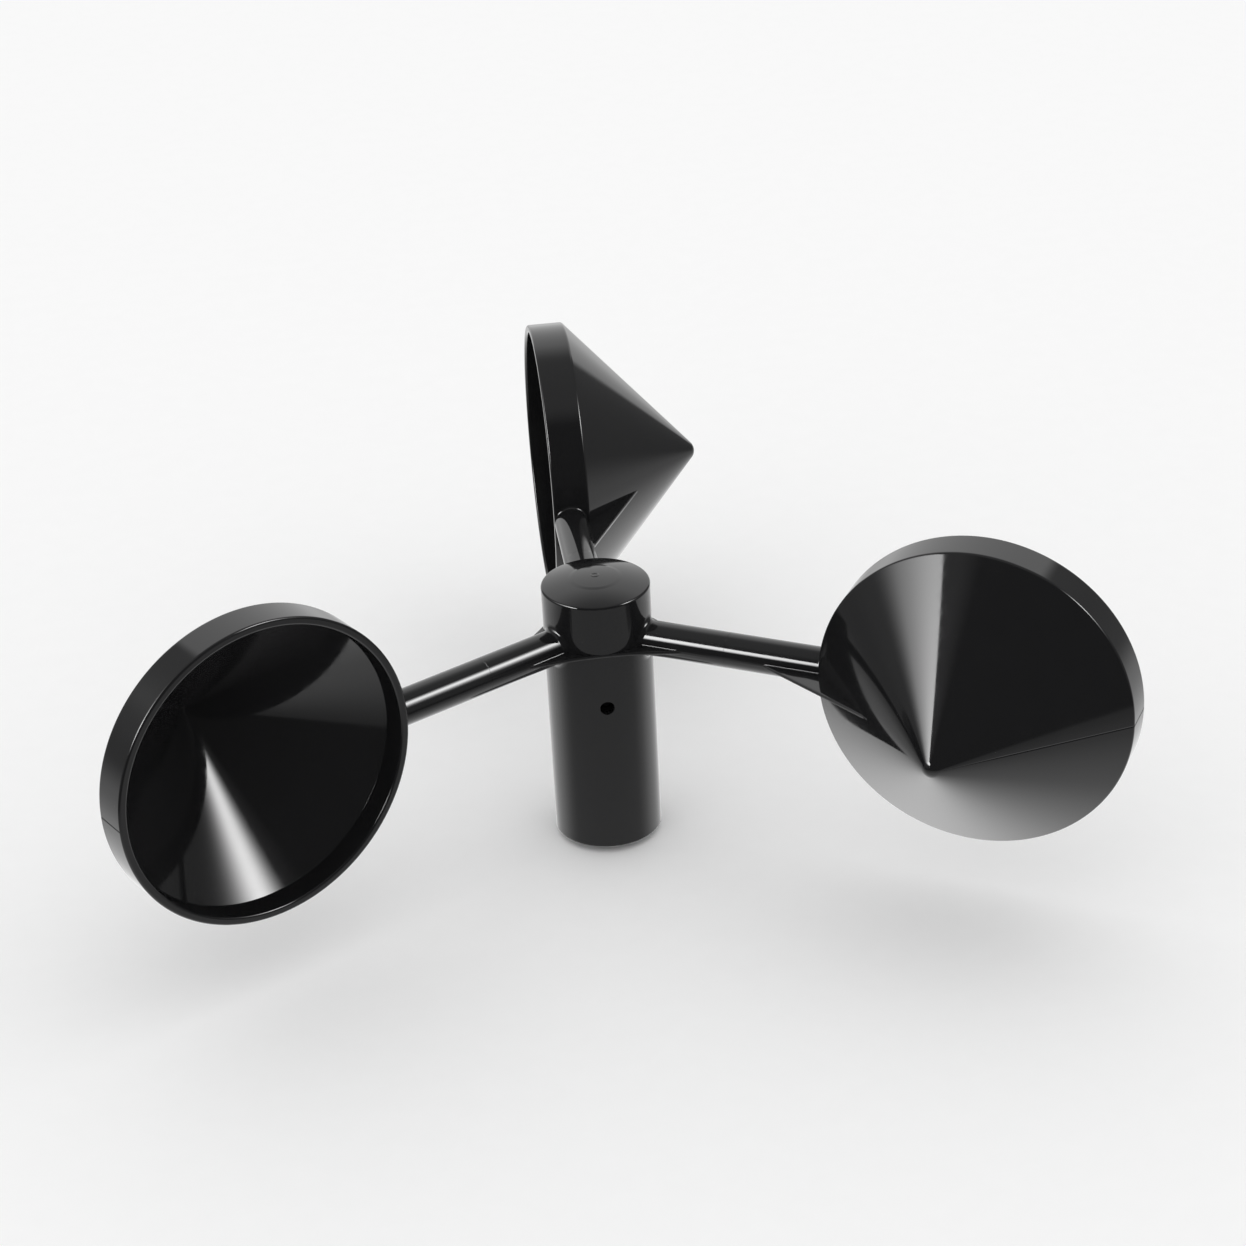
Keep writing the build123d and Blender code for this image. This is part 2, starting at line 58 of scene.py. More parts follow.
# ---- Sizes read from the frame ----
cup_low, cup_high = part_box("cup_1")  # arm 1 points along +Y, so its cup's t runs along +X
hub_low, hub_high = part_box("hub")
CUP_R = (cup_high.z - cup_low.z) / 2
ARM_Z = (cup_high.z + cup_low.z) / 2
CUP_U = cup_high.y - CUP_R
CUP_MOUTH_T = cup_low.x
CUP_TIP_T = cup_high.x
ARM_JOINT_U = hub_high.y  # where a cup's arm butts against the hub's stub arm
HUB_TOP = hub_high.z
SKIRT_BOTTOM = hub_low.z
BUSH_LOW, BUSH_HIGH = (corner.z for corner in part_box("shaft_bush"))
BUSH_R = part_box("shaft_bush")[1].x
GRUB_Z = sum(corner.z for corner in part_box("grub_screw")) / 2

# ---- Sizes of the moulded rotor ----
ARM_AZIMUTHS = (90, 210, 330)
HUB_R = 7.5 * MM
SKIRT_WALL = 1.2 * MM
CAP_THICK = 2.6 * MM
HUB_EDGE_R = 0.35 * MM
HUB_DOME = 1.2 * MM
HUB_BOTTOM_R = 0.2 * MM
BOSS_R = 3.8 * MM
ARM_R = 2.45 * MM
ARM_ROOT_FILLET = 0.8 * MM
RIM_ROOT_FILLET = 0.5 * MM
LEAST_FILLET = 0.02 * MM  # where an arm only grazes its cup's rim
JOINT_CHAMFER = 0.02 * MM
HOST_INSETS = (0.02 * MM, 0.5 * MM)  # rows of an arm's skin inside the wall that it grows out of
SPIGOT_R = 1.5 * MM
SPIGOT_LENGTH = 5.5 * MM
SOCKET_R = 1.53 * MM
SOCKET_DEPTH = 5.8 * MM
WEB_THICK = 0.45 * MM
WEB_EDGE_R = 0.12 * MM
WEB_TOUCH_R = HUB_R + 0.1 * MM
WEB_SCOOP_R = 45.0 * MM
WEB_END_R = 15.0 * MM
WEB_FILLET_R = 0.22 * MM  # where the web and the gussets lie against an arm
WEB_FILLET_END_R = 0.02 * MM  # the same fillet at its ends
WEB_TIP_U = 13.3 * MM  # where the web's edge meets an arm's side
CUP_INNER_R = 20.25 * MM
CUP_INNER_BASE_R = 20.15 * MM
CUP_INNER_BASE_T = 0.9 * MM
CUP_INNER_APEX_T = 19.5 * MM
CUP_INNER_APEX_R = 0.35 * MM
CUP_RIM_T = 2.7 * MM
CUP_APEX_R = 1.8 * MM
CUP_LIP_R = 0.3 * MM
CUP_EDGE_R = 0.5 * MM
CREASE_R = 0.12 * MM
GUSSET_ARM_U = 24.9 * MM
GUSSET_CONE_U = 42.2 * MM
GRUB_R = 1.0 * MM
GRUB_BOSS_R = 2.0 * MM
GRUB_AZIMUTH = 270
SEAM_HALF = 0.1 * MM  # parting line on a cup
SEAM_DEPTH = 0.07 * MM
SEAM_SECTION = ((-1.7, 0), (-1, 0), (0, 1), (1, 0), (1.7, 0))  # (offset, depth) in shares of the two above
SEAM_FIRST_ROW = 4  # the parting line starts this many rows from the apex
DISC_R = 3.45 * MM  # faint disc on the hub's top, with the moulding gate's ring in its middle
DISC_SLOPE = 0.5 * MM
DISC_RISE = 0.03 * MM
GATE_R = 0.45 * MM
GATE_HALF = 0.15 * MM
GATE_RISE = 0.05 * MM
MARK_ROOM = DISC_RISE + GATE_RISE

# ---- Mesh fineness ----
COLUMNS = 256  # round a lathed piece
ARM_COLUMNS = 128
ROD_COLUMNS = 96
ARC_STEPS = 6  # along a small fillet
BEAD_STEPS = 24  # along the fillet beside an arm
CONE_ROWS = 12
SUPPORT = 0.06 * MM  # a row this close to a fillet keeps the flat beside it flat
SHARP_ANGLE = radians(32)


# ======== Shapes ========
def mesh_object(name, points, faces):
    """An object from points and faces, with its normals turned outwards."""
    mesh = bpy.data.meshes.new(name)
    mesh.from_pydata([tuple(p) for p in points], [], faces)
    work = bmesh.new()
    work.from_mesh(mesh)
    bmesh.ops.recalc_face_normals(work, faces=work.faces)
    work.to_mesh(mesh)
    work.free()
    thing = bpy.data.objects.new(name, mesh)
    bpy.context.scene.collection.objects.link(thing)
    return thing


def loft(name, rings, start=None, end=None):
    """A closed skin through rings of equal length, with a fan at each end to a given point or the middle."""
    count = len(rings[0])
    points = [p for ring in rings for p in ring]
    points.append(start or sum(map(Vector, rings[0]), Vector()) / count)
    points.append(end or sum(map(Vector, rings[-1]), Vector()) / count)
    first, last = len(points) - 2, len(points) - 1
    base = (len(rings) - 1) * count
    faces = []
    for column in range(count):
        beside = (column + 1) % count
        for row in range(len(rings) - 1):
            low, high = row * count, (row + 1) * count
            faces.append((low + column, low + beside, high + beside, high + column))
        faces.append((first, beside, column))
        faces.append((last, base + column, base + beside))
    return mesh_object(name, points, faces)


def arc(middle, start, end):
    """Points of the arc from one point to another round a middle."""
    from_middle, to_end = start - middle, end - middle
    shares = [k / ARC_STEPS for k in range(ARC_STEPS + 1)]
    return [middle + from_middle.slerp(to_end, share) * from_middle.length for share in shares]


def rounded(corners):
    """Profile through (radius, height, fillet) corners. Each arc has a supporting point at either side."""
    profile = [corners[0][:2]]
    for before, here, after in zip(corners, corners[1:], corners[2:]):
        corner, fillet = Vector(here[:2]), here[2]
        if not fillet:
            profile.append(tuple(corner))
            continue
        inwards = (Vector(before[:2]) - corner).normalized()
        outwards = (Vector(after[:2]) - corner).normalized()
        half = inwards.angle(outwards) / 2
        reach = fillet / tan(half)
        middle = corner + (inwards + outwards).normalized() * (fillet / sin(half))
        profile.append(tuple(corner + inwards * (reach + SUPPORT)))
        profile += map(tuple, arc(middle, corner + inwards * reach, corner + outwards * reach))
        profile.append(tuple(corner + outwards * (reach + SUPPORT)))
    profile.append(corners[-1][:2])
    return profile


def lathe(name, profile, place, seam=None):
    """Closed surface of revolution from pole to pole. place turns (radius, height, angle) into a point.

    seam is the first and last row of the parting line, a fine groove along the profile at angle 0.
    """
    step = 2 * pi / COLUMNS
    columns = [(k * step, 0, 0) for k in range(COLUMNS)]
    if seam:
        columns = [(0, offset, depth) for offset, depth in SEAM_SECTION] + columns[2:-1]
    rings = []
    for row, (radius, height) in enumerate(profile[1:-1]):
        turn = min(SEAM_HALF / radius, step / 2)  # half the groove's width, as an angle
        sunk = SEAM_DEPTH * turn * radius / SEAM_HALF if seam and seam[0] <= row <= seam[1] else 0
        rings.append([
            place(radius - depth * sunk, height, angle + offset * turn) for angle, offset, depth in columns
        ])
    poles = [place(0, height, 0) for _, height in (profile[0], profile[-1])]
    return loft(name, rings, *poles)


def combine(body, tool, operation):
    """Joins the tool to the body, or cuts it out of it, for good."""
    cut = body.modifiers.new("combine", "BOOLEAN")
    cut.operation = operation
    cut.solver = "MANIFOLD"
    cut.object = tool
    done = body.evaluated_get(bpy.context.evaluated_depsgraph_get())
    mesh = bpy.data.meshes.new_from_object(done)
    body.modifiers.clear()
    body.data = mesh
    bpy.data.objects.remove(tool)


def rod(name, place, radius, low, high, chamfer=0):
    """A round rod along the first axis of a place function's coordinates."""
    stations = [(low, radius), (high, radius)]
    if chamfer:
        end_r = radius - chamfer
        stations = [(low, end_r), (low + chamfer, radius), (high - chamfer, radius), (high, end_r)]
    angles = [2 * pi * k / ROD_COLUMNS for k in range(ROD_COLUMNS)]
    return loft(name, [[place(u, r * cos(a), r * sin(a)) for a in angles] for u, r in stations])


def plate(name, outline, place, free_edges, hole=()):
    """A plate under the parting plane, as thick as the web. The corners of its free edges are rounded."""
    count, inner = len(outline), len(hole)
    points = [place(*p, height) for ring in (outline, hole) for height in (-WEB_THICK, 0) for p in ring]
    faces = []
    for base, size in ((0, count), (2 * count, inner)):
        for k in range(size):
            beside = (k + 1) % size
            faces.append((base + k, base + beside, base + size + beside, base + size + k))
    thing = mesh_object(name, points, faces)
    work = bmesh.new()
    work.from_mesh(thing.data)
    underside = {*range(count), *range(2 * count, 2 * count + inner)}
    bounds = [e for e in work.edges if e.is_boundary]
    low = [e for e in bounds if all(v.index in underside for v in e.verts)]
    high = [e for e in bounds if e not in low]
    for side in (low, high):
        bmesh.ops.triangle_fill(work, edges=side, use_beauty=True)
    bmesh.ops.recalc_face_normals(work, faces=work.faces)
    free = []
    for k in free_edges:
        for base in (0, count):
            pair = {base + k, base + (k + 1) % count}
            free += [e for e in work.edges if {v.index for v in e.verts} == pair]
    bmesh.ops.bevel(
        work, geom=free, offset=WEB_EDGE_R, segments=4, profile=0.5, affect="EDGES", clamp_overlap=True
    )
    work.to_mesh(thing.data)
    work.free()
    return thing


def flared_arm(name, place, host_r, fillet_at, end_u, curved_first):
    """A round arm that grows out of a round host with a rolling-ball fillet, closed inside the host's wall.

    Distances along the arm are from the host's axis, and end_u is its plain end. curved_first says whether
    the host curves across the arm's first cross axis or its second. fillet_at gives the fillet's radius at a
    point round the arm from how far the point lies along that axis, from -1 to 1.
    """
    paths = []
    for k in range(ARM_COLUMNS):
        angle = 2 * pi * k / ARM_COLUMNS
        curved, straight = cos(angle), sin(angle)
        if not curved_first:
            curved, straight = straight, curved
        fillet = fillet_at(curved)
        centre = Vector((0, (ARM_R + fillet) * curved, (ARM_R + fillet) * straight))
        centre.x = sqrt((host_r + fillet) ** 2 - centre.y ** 2)
        on_arm = Vector((centre.x, ARM_R * curved, ARM_R * straight))
        share = host_r / (host_r + fillet)
        on_host = Vector((centre.x * share, centre.y * share, centre.z))
        chamfered_r = ARM_R - JOINT_CHAMFER
        path = [
            Vector((end_u, chamfered_r * curved, chamfered_r * straight)),
            Vector((end_u - JOINT_CHAMFER, ARM_R * curved, ARM_R * straight)),
            Vector((end_u - JOINT_CHAMFER - SUPPORT, ARM_R * curved, ARM_R * straight)),
            on_arm + Vector((SUPPORT, 0, 0)),
            *arc(centre, on_arm, on_host),
        ]
        for inset in HOST_INSETS:
            depth = (host_r - inset) / host_r
            path.append(Vector((on_host.x * depth, on_host.y * depth, on_host.z)))
        paths.append([place(p.x, *((p.y, p.z) if curved_first else (p.z, p.y))) for p in path])
    return loft(name, list(zip(*paths)))


def bead(place, side, low, high, width):
    """Concave fillet between an arm's side and a plate's top. width(u) is the plate's room for it."""
    root, core = ARM_R - 0.015 * MM, ARM_R - 0.315 * MM  # just inside the arm, and well inside it
    base_z = -WEB_THICK / 2
    turns = [pi / 2 * k / ARC_STEPS for k in range(ARC_STEPS + 1)]
    rings = []
    for k in range(BEAD_STEPS + 1):
        u = low + (high - low) * k / BEAD_STEPS
        radius = max(WEB_FILLET_END_R, min(WEB_FILLET_R, width(u)))
        curve = [(root + radius * (1 - cos(turn)), radius * (1 - sin(turn))) for turn in turns]
        section = [(core, base_z), (core, radius), *curve, (root + radius, base_z)]
        rings.append([place(u, side * t, z) for t, z in section])
    return loft("bead", rings)


# ---- The cup, made once in its own (u, t, z) coordinates and copied round ----
def cup_place(u, t, z):
    return Vector((u, t, z))


def solve_apex():
    """Where the outer cone's lines would meet, and their slope, from the rounded tip in the frame."""
    apex = CUP_TIP_T
    for _ in range(40):
        slope = (apex - CUP_RIM_T) / CUP_R
        apex = CUP_TIP_T + CUP_APEX_R * (sqrt(1 + slope * slope) - 1)
    return apex, (apex - CUP_RIM_T) / CUP_R


def round_tip(apex_t, slope, radius, start_share, end_share):
    """Arc of a rounded cone tip, from one share of its turn to another, 0 on the axis."""
    lean = atan(slope)
    middle = apex_t - radius / cos(lean)
    steps = 2 * ARC_STEPS
    shares = [start_share + (end_share - start_share) * k / steps for k in range(steps + 1)]
    return [(radius * sin(lean * s), middle + radius * cos(lean * s)) for s in shares]


def rows_between(start, end):
    """Rows down a cone between two profile points, so that its faces stay short."""
    return [tuple(Vector(start).lerp(Vector(end), k / CONE_ROWS)) for k in range(1, CONE_ROWS)]


def cup_mesh():
    """One cup with its arm, gusset and spigot."""
    apex_t, cone_slope = solve_apex()
    inner_slope = (CUP_INNER_APEX_T - CUP_INNER_BASE_T) / CUP_INNER_BASE_R
    outer_tip = round_tip(apex_t, cone_slope, CUP_APEX_R, 0, 1)
    inner_tip = round_tip(CUP_INNER_APEX_T, inner_slope, CUP_INNER_APEX_R, 1, 0)
    walls = rounded([
        (*outer_tip[-1], 0),
        (CUP_R, CUP_RIM_T, CUP_EDGE_R),
        (CUP_R, CUP_MOUTH_T, CUP_LIP_R),
        (CUP_INNER_R, CUP_MOUTH_T, CUP_LIP_R),
        (CUP_INNER_BASE_R, CUP_INNER_BASE_T, CREASE_R),
        (*inner_tip[0], 0),
    ])
    outer_rows = rows_between(*walls[:2])
    profile = [*outer_tip, *outer_rows, *walls[1:-1], *rows_between(*walls[-2:]), *inner_tip]
    seam = (SEAM_FIRST_ROW, len(outer_tip) + len(outer_rows) + ARC_STEPS + 3)
    cup = lathe("cup", profile, lambda r, t, a: Vector((CUP_U + r * cos(a), t, r * sin(a))), seam)

    arm = flared_arm(
        "arm", lambda distance, t, z: Vector((CUP_U - distance, t, z)), CUP_R,
        lambda curved: RIM_ROOT_FILLET * curved * curved + LEAST_FILLET, CUP_U - ARM_JOINT_U, False,
    )
    combine(cup, arm, "UNION")

    # the gusset, which starts inside the arm's side and reaches inside the cone and the rim
    cone_t = apex_t - cone_slope * (CUP_U - GUSSET_CONE_U)
    outline = [
        (GUSSET_ARM_U, ARM_R - 0.1 * MM),
        (GUSSET_CONE_U, cone_t),
        (GUSSET_CONE_U + 0.5 * MM, cone_t - 0.6 * MM),
        (CUP_U - CUP_R + 0.5 * MM, CUP_RIM_T - 0.8 * MM),
        (GUSSET_ARM_U, ARM_R - 1.2 * MM),
    ]
    combine(cup, plate("gusset", outline, cup_place, [0]), "UNION")
    slope = (cone_t - ARM_R) / (GUSSET_CONE_U - GUSSET_ARM_U)
    along_gusset = bead(
        cup_place, 1, GUSSET_ARM_U + 0.25 * MM, CUP_U - CUP_R + 0.3 * MM,
        lambda u: slope * (u - GUSSET_ARM_U) - 0.1 * MM,
    )
    combine(cup, along_gusset, "UNION")
    spigot = rod("spigot", cup_place, SPIGOT_R, ARM_JOINT_U - SPIGOT_LENGTH, ARM_JOINT_U + MM, 0.1 * MM)
    combine(cup, spigot, "UNION")
    return cup


# ---- The hub ----
def arm_turn(azimuth):
    """Turns a cup's (u, t, z) coordinates into the frame's."""
    u = (cos(radians(azimuth)), sin(radians(azimuth)))
    t = (sin(radians(azimuth)), -cos(radians(azimuth)))
    return Matrix(((u[0], t[0], 0, 0), (u[1], t[1], 0, 0), (0, 0, 1, ARM_Z), (0, 0, 0, 1)))


def turned_place(turn):
    """A place function for coordinates that a matrix turns into the frame's."""
    return lambda u, t, z: turn @ Vector((u, t, z))


def dome_height(r):
    """Height of the hub's domed top. It carries a faint raised disc with a ring left by the moulding gate."""
    disc = DISC_RISE * min(max((DISC_R - r) / DISC_SLOPE + 0.5, 0), 1)
    gate = GATE_RISE * max(0, 1 - ((r - GATE_R) / GATE_HALF) ** 2)
    return HUB_TOP - MARK_ROOM - HUB_DOME * (r / HUB_R) ** 2 + disc + gate


def dome_profile(end):
    """The dome's rows out to a radius, fine over the gate's ring and the disc's edge."""
    radii = [k * 0.05 * MM for k in range(1, 16)]
    radii += [k * 0.3 * MM for k in range(3, 10)]
    radii += [DISC_R + DISC_SLOPE * k / 8 for k in range(-6, 7)]
    radii += [k * 0.3 * MM for k in range(14, 24)]
    return [(r, dome_height(r)) for r in radii if r < end]


def web_plate():
    """Thin web just under the parting plane, scooped out between the arms and ending inside them."""
    scoop_distance = WEB_TOUCH_R + WEB_SCOOP_R
    steps = 48
    half = acos((scoop_distance**2 + WEB_SCOOP_R**2 - WEB_END_R**2) / (2 * scoop_distance * WEB_SCOOP_R))
    outline = []
    for azimuth in ARM_AZIMUTHS:
        middle = radians(azimuth + 60)
        centre = Vector((cos(middle), sin(middle))) * scoop_distance
        for k in range(steps + 1):
            angle = middle + pi + half - 2 * half * k / steps
            outline.append(tuple(centre + Vector((cos(angle), sin(angle))) * WEB_SCOOP_R))
    hole_r = HUB_R - SKIRT_WALL + 0.3 * MM
    hole_angles = [2 * pi * k / ROD_COLUMNS for k in range(ROD_COLUMNS)]
    hole = [(hole_r * cos(angle), hole_r * sin(angle)) for angle in hole_angles]
    free = [k for k in range(len(outline)) if (k + 1) % (steps + 1)]
    return plate("web", outline, lambda x, y, z: Vector((x, y, ARM_Z + z)), free, hole)


def web_width(u):
    """How wide a fillet the web has room for beside an arm, this far out along it."""
    scoop_distance = WEB_TOUCH_R + WEB_SCOOP_R
    scoop_u, scoop_t = scoop_distance / 2, scoop_distance * sin(pi / 3)
    return scoop_t - sqrt(WEB_SCOOP_R**2 - (u - scoop_u) ** 2) - ARM_R - WEB_FILLET_END_R


def hub_mesh():
    """Drum, skirt, boss, stub arms, web, and the hole for the grub screw."""
    dome_end = HUB_R - HUB_EDGE_R - 3 * SUPPORT
    shell = rounded([
        (dome_end, dome_height(dome_end), 0),
        (HUB_R, dome_height(HUB_R), HUB_EDGE_R),
        (HUB_R, SKIRT_BOTTOM, HUB_BOTTOM_R),
        (HUB_R - SKIRT_WALL, SKIRT_BOTTOM, HUB_BOTTOM_R),
        (HUB_R - SKIRT_WALL, HUB_TOP - CAP_THICK, 0),
        (BOSS_R, HUB_TOP - CAP_THICK, 0),
        (BOSS_R, BUSH_LOW, 0),
        (BUSH_R, BUSH_LOW, 0),
        (BUSH_R, BUSH_HIGH, 0),
        (0, BUSH_HIGH, 0),
    ])
    profile = [(0, dome_height(0)), *dome_profile(dome_end), *shell]
    hub = lathe("hub", profile, lambda r, h, a: Vector((r * cos(a), r * sin(a), h)))
    arm_places = [turned_place(arm_turn(azimuth)) for azimuth in ARM_AZIMUTHS]
    for place in arm_places:
        stub = flared_arm("stub", place, HUB_R, lambda curved: ARM_ROOT_FILLET, ARM_JOINT_U, True)
        combine(hub, stub, "UNION")
    combine(hub, web_plate(), "UNION")
    for place in arm_places:
        for side in (-1, 1):
            combine(hub, bead(place, side, HUB_R + 0.1 * MM, WEB_TIP_U, web_width), "UNION")
    grub_turn = Matrix.Translation((0, 0, GRUB_Z)) @ Matrix.Rotation(radians(GRUB_AZIMUTH), 4, "Z")
    grub_place = turned_place(grub_turn)
    boss_ends = (BOSS_R - 0.3 * MM, HUB_R - SKIRT_WALL + 0.3 * MM)
    combine(hub, rod("boss", grub_place, GRUB_BOSS_R, *boss_ends), "UNION")
    combine(hub, rod("hole", grub_place, GRUB_R, BUSH_R - 0.3 * MM, HUB_R + MM), "DIFFERENCE")
    for place in arm_places:
        socket = rod("socket", place, SOCKET_R, ARM_JOINT_U - SOCKET_DEPTH, ARM_JOINT_U + MM)
        combine(hub, socket, "DIFFERENCE")
    return hub


# ======== Camera ========
VIEW_TURN = radians(-5.799)  # from the camera's own azimuth to the frame's -Y
VIEW_ELEVATION, VIEW_ROLL, VIEW_DISTANCE = radians(28.494), radians(-3.031), 403.08 * MM
AIM = Vector((3.49 * MM, 0, ARM_Z + 0.72 * MM))
camera_data = bpy.data.cameras.new("camera")
camera_data.sensor_width = 36
camera_data.lens = 84.62
camera_data.clip_start, camera_data.clip_end = 0.01, 100
camera = bpy.data.objects.new("camera", camera_data)
bpy.context.scene.collection.objects.link(camera)
bpy.context.scene.camera = camera
back = Vector((0, -cos(VIEW_ELEVATION), sin(VIEW_ELEVATION)))
level = (-back).cross(Vector((0, 0, 1))).normalized()
upright = level.cross(-back)
right = level * cos(VIEW_ROLL) + upright * sin(VIEW_ROLL)
up = upright * cos(VIEW_ROLL) - level * sin(VIEW_ROLL)
pose = Matrix((right, up, back)).transposed().to_4x4()
pose.translation = AIM + back * VIEW_DISTANCE
camera.matrix_world = Matrix.Rotation(VIEW_TURN, 4, "Z") @ pose

# ======== Pieces ========
hub = hub_mesh()
hub.name = "hub_shell"
shapes = {"hub_shell": ("hub", hub)}
cup = cup_mesh()
for number, azimuth in enumerate(ARM_AZIMUTHS, start=1):
    data = cup.data.copy()
    data.transform(arm_turn(azimuth))
    piece = bpy.data.objects.new(f"wind_cup_{number}", data)
    bpy.context.scene.collection.objects.link(piece)
    shapes[piece.name] = (f"cup_{number}", piece)
bpy.data.objects.remove(cup)


# ======== Materials ========
class Nodes:
    """Writes sums and textures as shader nodes in one node tree."""

    def __init__(self, tree):
        self.tree = tree

    def feed(self, socket, value):
        """Puts a number in a socket, or links an output to it."""
        if isinstance(value, bpy.types.NodeSocket):
            self.tree.links.new(value, socket)
        else:
            socket.default_value = value

    def maths(self, operation, *values):
        node = self.tree.nodes.new("ShaderNodeMath")
        node.operation = operation
        for socket, value in zip(node.inputs, values):
            self.feed(socket, value)
        return node.outputs[0]

    def ramp(self, value, low, high, start=0.0, end=1.0):
        """Runs smoothly from start at low to end at high."""
        node = self.tree.nodes.new("ShaderNodeMapRange")
        node.interpolation_type = "SMOOTHSTEP"
        names = ("Value", "From Min", "From Max", "To Min", "To Max")
        for name, number in zip(names, (value, low, high, start, end)):
            self.feed(node.inputs[name], number)
        return node.outputs["Result"]

    def mix(self, share, a, b):
        return self.maths("MULTIPLY_ADD", share, self.maths("SUBTRACT", b, a), a)

    def noise(self, place, size, detail=2.0):
        """Noise from 0 to 1 with features of about this size in metres."""
        node = self.tree.nodes.new("ShaderNodeTexNoise")
        self.feed(node.inputs["Vector"], place)
        node.inputs["Scale"].default_value = 1 / size
        node.inputs["Detail"].default_value = detail
        return node.outputs["Fac"]

    def place(self):
        """The point being shaded, in the frame's own axes."""
        return self.tree.nodes.new("ShaderNodeTexCoord").outputs["Object"]

    def turning(self, place):
        """Coordinates in which a tool mark round the spin axis is one place: (radius, 0, height)."""
        split = self.tree.nodes.new("ShaderNodeSeparateXYZ")
        self.feed(split.inputs[0], place)
        joined = self.tree.nodes.new("ShaderNodeCombineXYZ")
        squares = [self.maths("MULTIPLY", split.outputs[k], split.outputs[k]) for k in (0, 1)]
        self.feed(joined.inputs[0], self.maths("SQRT", self.maths("ADD", *squares)))
        self.feed(joined.inputs[2], split.outputs[2])
        return joined.outputs[0]

    def tint(self, share, dark, light):
        node = self.tree.nodes.new("ShaderNodeMix")
        node.data_type = "RGBA"
        factor, colour_a, colour_b = 0, 6, 7  # the colour mix's own sockets
        self.feed(node.inputs[factor], share)
        node.inputs[colour_a].default_value = (*dark, 1)
        node.inputs[colour_b].default_value = (*light, 1)
        return node.outputs[2]

    def bump(self, height, distance, below=None):
        """A bump whose full height is the given distance in metres."""
        node = self.tree.nodes.new("ShaderNodeBump")
        node.inputs["Distance"].default_value = distance
        self.feed(node.inputs["Height"], height)
        if below:
            self.feed(node.inputs["Normal"], below)
        return node.outputs[0]


def material(name):
    """A new material, its node writer and its main shader."""
    made = bpy.data.materials.new(name)
    made.use_nodes = True
    return made, Nodes(made.node_tree), made.node_tree.nodes["Principled BSDF"]


def moulded(name, dark, light, roughness, grain, grain_depth, wave_depth):
    """Plastic or rubber: a mottled colour, uneven gloss, a fine grain, and slow sink waves."""
    made, nodes, shader = material(name)
    place = nodes.place()
    mottle = nodes.noise(place, 4 * MM, 3.0)
    nodes.feed(shader.inputs["Base Color"], nodes.tint(mottle, dark, light))
    gloss = nodes.noise(place, 1.5 * MM, 4.0)
    nodes.feed(shader.inputs["Roughness"], nodes.ramp(gloss, 0.3, 0.7, *roughness))
    normal = nodes.bump(nodes.noise(place, grain, 2.0), grain_depth)
    if wave_depth:
        normal = nodes.bump(nodes.noise(place, 9 * MM, 1.0), wave_depth, normal)
    nodes.feed(shader.inputs["Normal"], normal)
    return made


def turned(name, dark, light, roughness, mark, mark_depth, metallic):
    """Metal from a lathe: fine tool marks round the spin axis over a faintly stained surface."""
    made, nodes, shader = material(name)
    place = nodes.place()
    shader.inputs["Metallic"].default_value = metallic
    stain = nodes.noise(place, 2 * MM, 4.0)
    nodes.feed(shader.inputs["Base Color"], nodes.tint(stain, dark, light))
    marks = nodes.noise(nodes.turning(place), mark, 3.0)
    nodes.feed(shader.inputs["Roughness"], nodes.ramp(marks, 0.3, 0.7, *roughness))
    nodes.feed(shader.inputs["Normal"], nodes.bump(marks, mark_depth))
    return made


def solder_mask():
    """Green board with the copper tracks showing faintly through its mask."""
    made, nodes, shader = material("board")
    place = nodes.place()
    tracks = nodes.tree.nodes.new("ShaderNodeTexWave")
    nodes.feed(tracks.inputs["Vector"], place)
    tracks.inputs["Scale"].default_value = 90.0
    tracks.inputs["Distortion"].default_value = 0.6
    copper = nodes.ramp(tracks.outputs["Fac"], 0.6, 0.7)
    nodes.feed(shader.inputs["Base Color"], nodes.tint(copper, (0.006, 0.06, 0.022), (0.012, 0.12, 0.04)))
    nodes.feed(shader.inputs["Roughness"], nodes.ramp(nodes.noise(place, 0.4 * MM), 0.3, 0.7, 0.22, 0.34))
    nodes.feed(shader.inputs["Normal"], nodes.bump(copper, 0.02 * MM))
    return made


def clear_glass():
    """The reed switch's tube, with a faint green body colour."""
    made, nodes, shader = material("glass")
    place = nodes.place()
    body = nodes.noise(place, 1.5 * MM)
    nodes.feed(shader.inputs["Base Color"], nodes.tint(body, (0.72, 0.86, 0.78), (0.82, 0.92, 0.86)))
    nodes.feed(shader.inputs["Roughness"], nodes.ramp(nodes.noise(place, 0.5 * MM), 0.3, 0.7, 0.02, 0.06))
    shader.inputs["IOR"].default_value = 1.5
    shader.inputs["Transmission Weight"].default_value = 0.85
    return made


